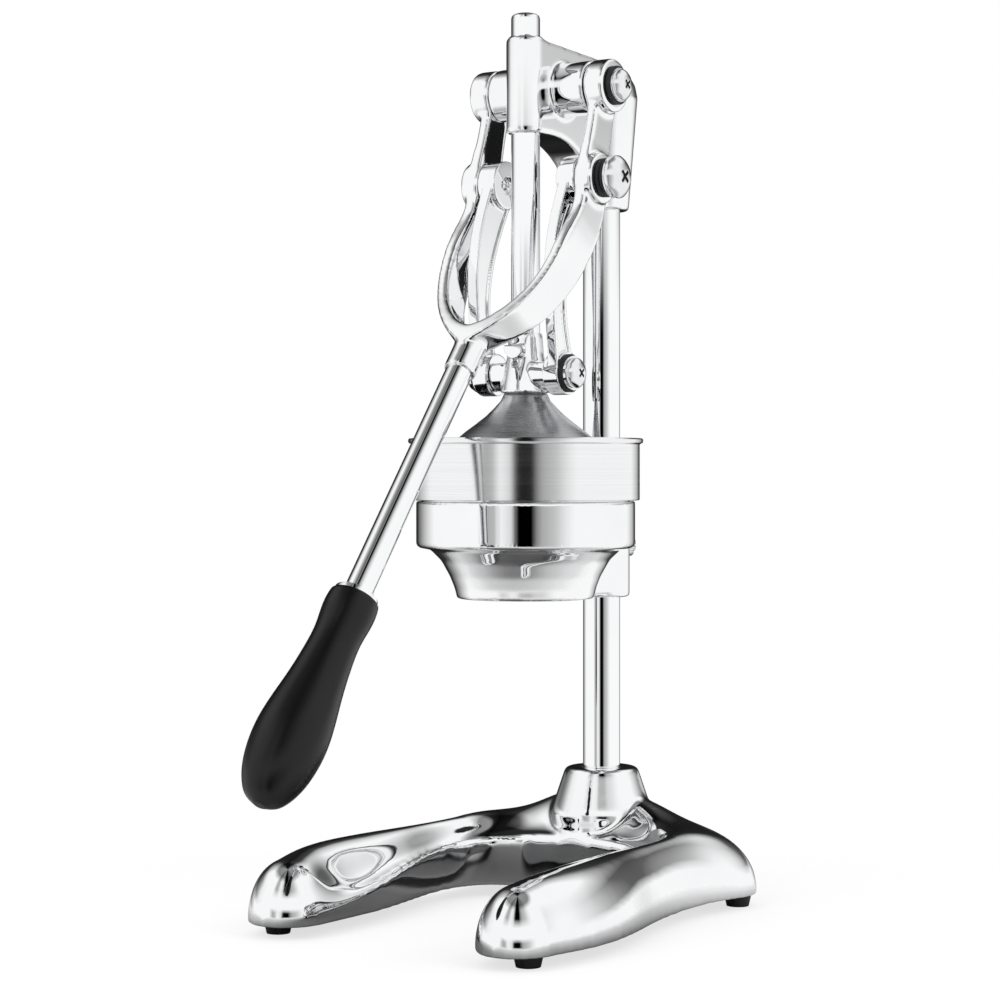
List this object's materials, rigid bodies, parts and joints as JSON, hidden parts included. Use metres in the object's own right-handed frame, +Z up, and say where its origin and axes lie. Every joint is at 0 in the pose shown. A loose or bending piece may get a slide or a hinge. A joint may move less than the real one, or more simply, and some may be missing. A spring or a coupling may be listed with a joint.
{
  "type": "lever citrus juice press",
  "caption": "Free-standing lever press that pushes a halved fruit down over a ribbed cone with a bell on a guided ram.",
  "frame": {"origin": "on the bench, under the middle of the press's bounding box", "axes": "+Z up, +X to the operator's right, -Y towards the operator, where the handle points"},
  "size_m": [0.1788, 0.3046, 0.443],
  "materials": {
    "chrome_casting": "polished chrome plate on a casting",
    "chrome_tube": "polished chrome plate on drawn steel",
    "plain_steel": "plain turned steel",
    "chrome_fastener": "bright plated fastener",
    "brushed_steel_cup": "brushed stainless steel",
    "cast_cone": "satin cast metal",
    "black_rubber": "black rubber",
    "black_grip": "black satin plastic"
  },
  "bodies": {
    "stand": {"base_casting": "chrome_casting", "head_casting": "chrome_casting", "juice_bowl": "chrome_casting", "column_tube": "chrome_tube", "column_plug": "plain_steel", "column_bolt": "plain_steel", "column_washer": "plain_steel", "foot_screws": "plain_steel", "head_set_screws": "plain_steel", "pivot_shaft": "plain_steel", "top_screw": "chrome_fastener", "top_steel_washer": "chrome_fastener", "bowl_clamp_screw": "chrome_fastener", "strainer_cup": "brushed_steel_cup", "juicing_cone": "cast_cone", "foot_front_left": "black_rubber", "foot_front_right": "black_rubber", "foot_rear_left": "black_rubber", "foot_rear_right": "black_rubber", "top_rubber_washer": "black_rubber"},
    "lever": {"lever_fork": "chrome_casting", "handle_rod": "chrome_tube", "handle_grip": "black_grip", "grip_ring": "chrome_tube", "middle_bolt_left": "chrome_fastener", "middle_bolt_right": "chrome_fastener", "middle_spacer": "black_rubber"},
    "link_left": {"link_left": "chrome_casting", "lower_bolt_left": "chrome_fastener", "lower_rubber_washer_left": "black_rubber", "lower_steel_washer_left": "chrome_fastener"},
    "link_right": {"link_right": "chrome_casting", "lower_bolt_right": "chrome_fastener", "lower_rubber_washer_right": "black_rubber", "lower_steel_washer_right": "chrome_fastener"},
    "ram": {"ram_rod": "chrome_tube", "ram_crosshead": "chrome_casting", "crosshead_pin": "plain_steel", "press_bell": "brushed_steel_cup", "bell_screw": "plain_steel"}
  },
  "joints": [
    {"name": "lever_swing", "type": "hinge", "parent": "stand", "child": "lever", "pos_m": [0, 0.0727, 0.407], "axis": [-1, 0, 0], "range_deg": [0, 115]},
    {"name": "link_turn_left", "type": "hinge", "parent": "lever", "child": "link_left", "pos_m": [0, 0.0637, 0.361], "axis": [1, 0, 0], "range_deg": [0, 132.4]},
    {"name": "link_turn_right", "type": "hinge", "parent": "lever", "child": "link_right", "pos_m": [0, 0.0637, 0.361], "axis": [1, 0, 0], "range_deg": [0, 132.4]},
    {"name": "ram_slide", "type": "slide", "parent": "stand", "child": "ram", "axis": [0, 0, 1], "range_m": [0, 0.07465]}
  ],
  "couplings": [
    {"joint": "link_turn_left", "follows": "lever_swing", "ratio": 1.1513},
    {"joint": "link_turn_right", "follows": "lever_swing", "ratio": 1.1513},
    {"joint": "ram_slide", "follows": "lever_swing", "m_per_rad": 0.037192}
  ]
}
